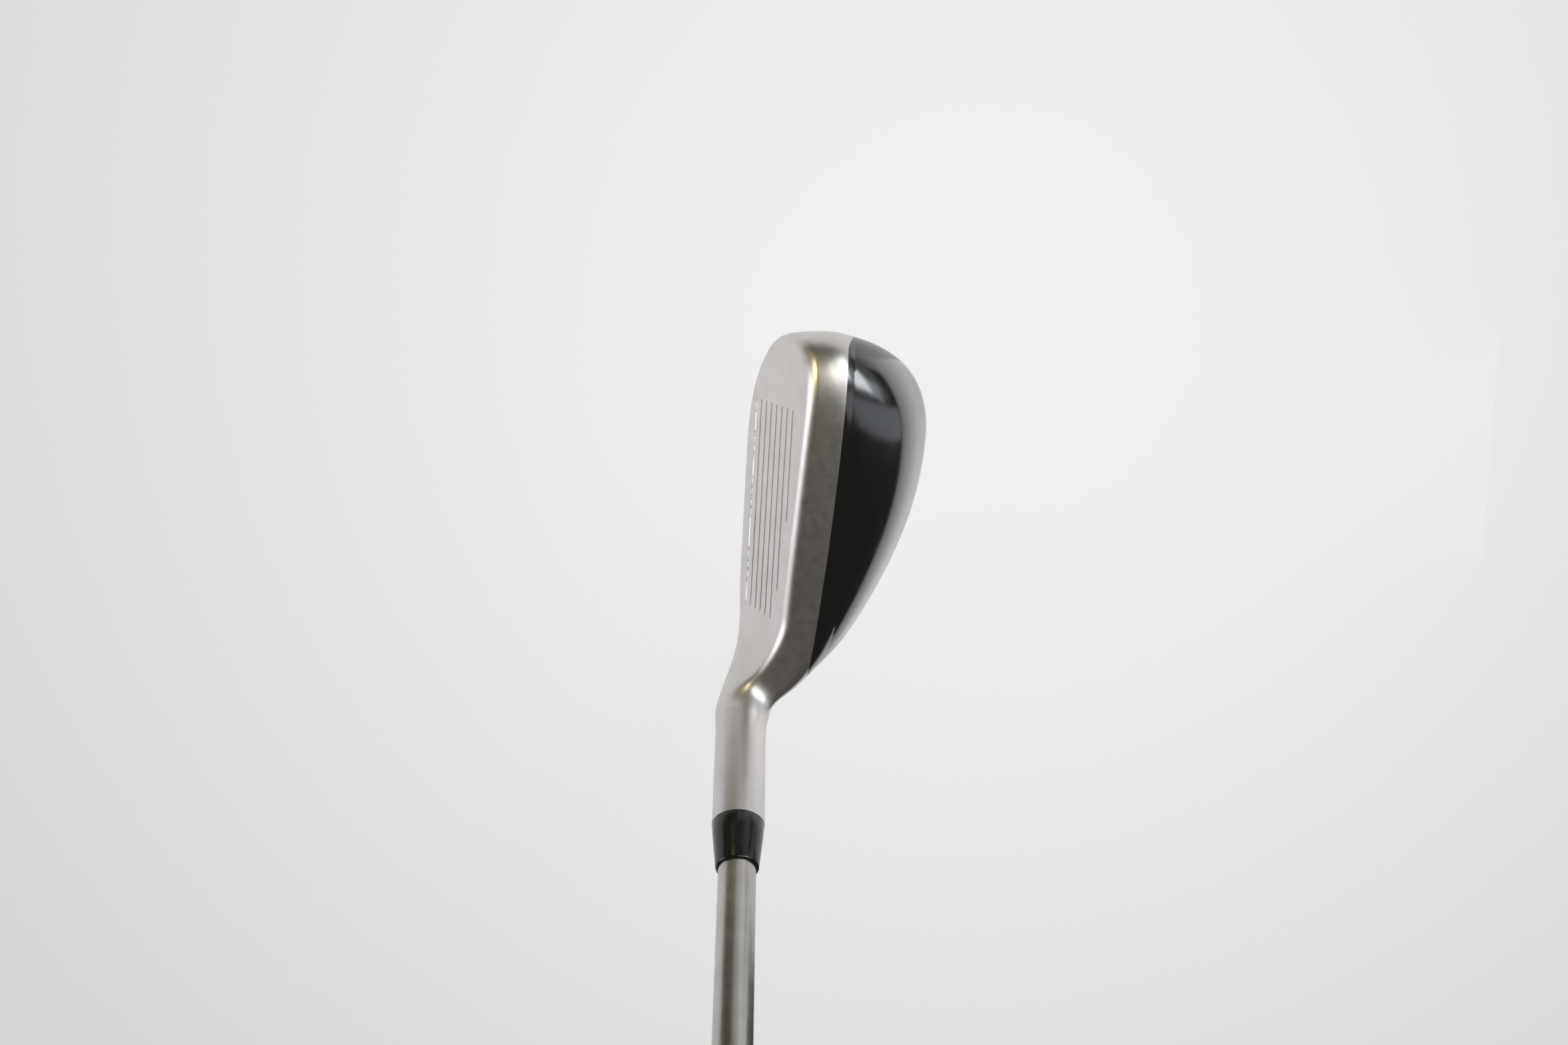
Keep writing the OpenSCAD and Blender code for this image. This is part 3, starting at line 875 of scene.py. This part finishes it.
def glow_round(tree, shader, centre, span, near, far):
    """Emission that goes from near to far between two distances round a place on the ground, in mm."""
    place = tree.nodes.new("ShaderNodeTexCoord")
    mapping = tree.nodes.new("ShaderNodeMapping")
    mapping.vector_type = "TEXTURE"
    mapping.inputs["Location"].default_value = (*to_row(centre)[:2], 0)
    mapping.inputs["Scale"].default_value = (2 * span[1] * MM, 2 * span[1] * MM, ANY_HEIGHT)
    fall = tree.nodes.new("ShaderNodeTexGradient")
    fall.gradient_type = "SPHERICAL"
    glow = tree.nodes.new("ShaderNodeMapRange")
    glow.inputs["From Min"].default_value = 0.5
    glow.inputs["From Max"].default_value = 1 - 0.5 * span[0] / span[1]
    glow.inputs["To Min"].default_value = far
    glow.inputs["To Max"].default_value = near
    tree.links.new(place.outputs["Object"], mapping.inputs["Vector"])
    tree.links.new(mapping.outputs["Vector"], fall.inputs["Vector"])
    tree.links.new(fall.outputs["Fac"], glow.inputs["Value"])
    tree.links.new(glow.outputs["Result"], shader.inputs["Emission Strength"])


def flat_sheet(name, points, faces, mat):
    mesh = bpy.data.meshes.new(name)
    mesh.from_pydata(points, [], faces)
    mesh.materials.append(mat)
    sheet = bpy.data.objects.new(name, mesh)
    bpy.context.scene.collection.objects.link(sheet)
    return sheet


def build_floor():
    """A pale sheet whose glow keeps the club's shadow faint. The glow dims away from the head."""
    mat, tree, shader = material("floor_sheet", (0.05, 0.05, 0.05), 0.9, Specular_IOR_Level=0.0)
    shader.inputs["Emission Color"].default_value = (1.0, 1.0, 1.0, 1)
    glow_round(tree, shader, [90, -60, 0], (50, 350), 0.84, 0.64)
    bump(tree, shader, noise(tree, 300, 2), 0.02)
    z = CAD_BOX[0][2] - 0.0002
    corners = [(x * FLOOR_HALF, y * FLOOR_HALF, z) for x, y in ((-1, -1), (1, -1), (1, 1), (-1, 1))]
    flat_sheet("floor", corners, [(0, 1, 2, 3)], mat)


def build_sheet(name, start, end, span, color, glow=None):
    """Part of a ring on the floor round the head, between two azimuths. Only reflections show it."""
    count = SHEET_POINTS
    angles = np.radians(np.linspace(start, end, count))
    ring = np.stack([np.cos(angles), np.sin(angles), 0 * angles], axis=1)
    points = to_row(np.concatenate([UNDER_HEAD + r * ring for r in span])).tolist()
    mat, tree, shader = material(name, (0, 0, 0), 1.0, Specular_IOR_Level=0.0, Emission_Strength=1.0)
    shader.inputs["Emission Color"].default_value = (*color, 1)
    if glow:
        glow_round(tree, shader, *glow)
    faces = [(k, count + k, count + k + 1, k + 1) for k in range(count - 1)]
    sheet = flat_sheet(name, points, faces, mat)
    sheet.visible_camera = False
    sheet.visible_diffuse = False
    sheet.visible_shadow = False


def build_backdrop():
    """A pale round wall far behind the club, seen only by the camera."""
    angles = 2 * pi * np.arange(WALL_CELLS) / WALL_CELLS
    low = CAD_BOX[0][2]
    points = [(WALL_R * cos(a), WALL_R * sin(a), z) for z in (low, low + WALL_H) for a in angles]
    mat, _, shader = material("backdrop", (0, 0, 0), 1.0, Specular_IOR_Level=0.0, Emission_Strength=0.62)
    shader.inputs["Emission Color"].default_value = (1.0, 1.0, 1.0, 1)
    wall = flat_sheet("backdrop", points, [cell(0, 1, k, WALL_CELLS) for k in range(WALL_CELLS)], mat)
    wall.visible_diffuse = False
    wall.visible_glossy = False
    wall.visible_shadow = False


def build_world():
    world = bpy.data.worlds.new("studio")
    world.use_nodes = True
    world.node_tree.nodes["Background"].inputs["Color"].default_value = (0.062, 0.055, 0.045, 1)
    bpy.context.scene.world = world


def build_camera():
    """Above the head and a little towards the toe. The shaft runs out of the picture's bottom edge."""
    data = bpy.data.cameras.new("camera")
    data.sensor_fit = "HORIZONTAL"
    data.sensor_width = 36.0
    data.lens = 34.42
    data.clip_start = 0.01
    back = Vector((0.2121, 0.0463, 0.9761)).normalized()
    right = Vector((0.0583, -0.9977, 0.0347))
    right = (right - right.dot(back) * back).normalized()
    turn = Matrix((right, back.cross(right), back)).transposed()
    camera = bpy.data.objects.new("camera", data)
    camera.matrix_world = Matrix.Translation(Vector(to_row([120.0, 9.8, 418.8]))) @ turn.to_4x4()
    bpy.context.scene.collection.objects.link(camera)
    bpy.context.scene.camera = camera


def build_lights():
    soft_box("front_light", 95, 14, 24, 40, 3.6, (0.96, 0.94, 1.0))
    soft_box("toe_light", -51, 37, 25, 25, 6.0, (0.93, 0.98, 1.0), roll=-24)
    soft_box("toe_top_light", -28, 64, 27, 11, 5.5, (1.0, 1.0, 0.92), roll=-35)
    soft_box("toe_tail_light", -66, 22, 16, 20, 1.6, (0.85, 0.93, 1.0), roll=-24)
    soft_box("toe_wall", -48, 8, 54, 13, 0.35, (1.0, 0.97, 0.9), distance=1.2)
    soft_box("warm_light", 48, 36.5, 14, 14, 3.2, (1.0, 0.86, 0.42), distance=0.126, beam=84)
    soft_box("rear_panel", -85, 27, 23, 74, 0.8, (0.88, 0.92, 1.0), distance=0.16)
    build_sheet("rear_dark", -164, -50, (150, 5000), (0.02, 0.02, 0.02))
    build_sheet("toe_dark", 8, 82, (135, 5000), (0.045, 0.034, 0.01))
    build_sheet("rear_glow", -164, -35, (28, 149), (1.0, 1.0, 1.0), ([75, -30, 0], (30, 190), 1.35, 0.55))
    build_backdrop()


bpy.context.scene.view_settings.view_transform = "Standard"
build_world()
build_camera()
build_lights()
build_floor()
build_head(
    satin_steel("satin_steel", (0.6, 0.58, 0.565), (0.66, 0.64, 0.63), 0.36, 0.42),
    satin_steel("face_steel", (0.6, 0.58, 0.57), (0.66, 0.64, 0.635), 0.36, 0.42),
    gloss_black(),
)
build_paint(line_paint())
build_ferrule(
    plastic("ferrule_black", (0.008, 0.009, 0.008), (0.014, 0.015, 0.014), 0.16, 0.26, 1500, 0.006),
)
build_shaft(satin_steel("shaft_steel", (0.5, 0.485, 0.455), (0.6, 0.585, 0.555), 0.3, 0.38))
build_grip(plastic("grip_rubber", (0.016, 0.016, 0.017), (0.032, 0.032, 0.033), 0.55, 0.75, 2600, 0.05))
build_cap(plastic("cap_rubber", (0.014, 0.014, 0.015), (0.026, 0.026, 0.027), 0.5, 0.68, 2600, 0.03))
dress("crown_bond", plastic("adhesive", (0.1, 0.1, 0.09), (0.18, 0.18, 0.16), 0.5, 0.7, 900, 0.04))
dress(
    "sole_weight",
    satin_steel("weight_alloy", (0.22, 0.22, 0.23), (0.34, 0.34, 0.35), 0.4, 0.6, 1800, 0.05),
)
dress("hosel_epoxy", plastic("epoxy", (0.5, 0.43, 0.28), (0.66, 0.58, 0.4), 0.25, 0.4, 900, 0.02))
dress("tip_weight", brass())
dress("grip_tape", plastic("paper_tape", (0.6, 0.54, 0.42), (0.76, 0.7, 0.56), 0.75, 0.95, 2200, 0.04))
